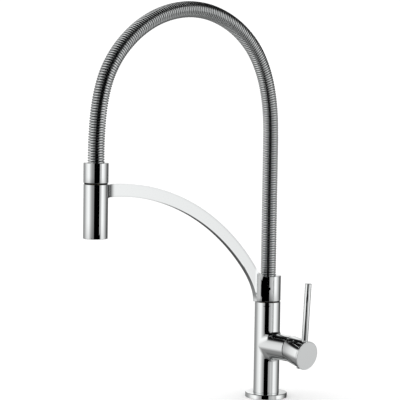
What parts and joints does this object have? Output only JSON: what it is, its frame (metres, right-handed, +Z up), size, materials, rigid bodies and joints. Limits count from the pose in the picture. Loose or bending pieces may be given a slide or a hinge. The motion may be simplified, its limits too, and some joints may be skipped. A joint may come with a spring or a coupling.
{
  "type": "pull down kitchen faucet",
  "caption": "Tall chromed kitchen mixer with a sprung hose over a curved support arm, a slim pull down spray head and a side handle with a pin lever.",
  "frame": {"origin": "On the deck surface, where the axis of the column meets it.", "axes": "+Z up along the column, -Y towards the spray head, +X towards the handle."},
  "size_m": [0.1003, 0.3167, 0.54],
  "materials": {
    "chrome": "polished chrome plate",
    "brass": "machined brass",
    "steel": "machined stainless steel",
    "rubber": "matte black rubber",
    "dark_plastic": "satin dark plastic",
    "pale_plastic": "moulded pale plastic"
  },
  "bodies": {
    "column": {"base_flange": "chrome", "base_gasket": "rubber", "mounting_shank": "brass", "deck_washer": "rubber", "clamp_plate": "steel", "shank_nut": "brass", "tap_body": "chrome", "swivel_post": "brass", "post_seal_lower": "rubber", "post_seal_upper": "rubber", "seam_ring": "dark_plastic", "cartridge_seal": "rubber", "cartridge_body": "pale_plastic", "cartridge_nut": "brass"},
    "rotor": {"cartridge_rotor": "steel", "pivot_pin": "steel"},
    "handle": {"handle_stem": "steel", "handle_knob": "chrome", "handle_cap": "chrome", "lever_pin": "chrome", "handle_set_screw": "steel"},
    "spout": {"spout_collar": "chrome", "collar_grub_screw": "steel", "support_arm": "chrome", "arm_stud_1": "steel", "arm_stud_2": "steel", "dock_magnet": "dark_plastic", "hose_sheath": "chrome", "inner_hose": "rubber", "hose_root_ferrule": "brass"},
    "hose_end": {"head_sleeve": "chrome", "head_seam_ring": "dark_plastic", "hose_end_ferrule": "brass"},
    "spray_head": {"spray_shell": "chrome", "nozzle_plate": "dark_plastic", "aerator_housing": "pale_plastic", "throat_nut": "brass", "nipple_seal": "rubber", "check_valve": "pale_plastic"}
  },
  "joints": [
    {"name": "spout_swivel", "type": "hinge", "parent": "column", "child": "spout", "pos_m": [0, 0, 0.12], "axis": [0, 0, 1], "continuous": true},
    {"name": "temperature_turn", "type": "hinge", "parent": "column", "child": "rotor", "pos_m": [0.033, 0, 0.0652], "axis": [1, 0, 0], "range_deg": [-45, 45]},
    {"name": "flow_tilt", "type": "hinge", "parent": "rotor", "child": "handle", "pos_m": [0.033, 0, 0.0652], "axis": [0, 1, 0], "range_deg": [0, 16]},
    {"name": "head_pull", "type": "slide", "parent": "spout", "child": "hose_end", "axis": [0, 0, -1], "range_m": [0, 0.2], "stiffness_N_per_m": 17, "springref_m": -0.115, "deforming": ["hose_sheath", "inner_hose"]},
    {"name": "head_turn", "type": "hinge", "parent": "hose_end", "child": "spray_head", "pos_m": [0, -0.2762, 0.2767], "axis": [0, 0, 1], "continuous": true}
  ]
}
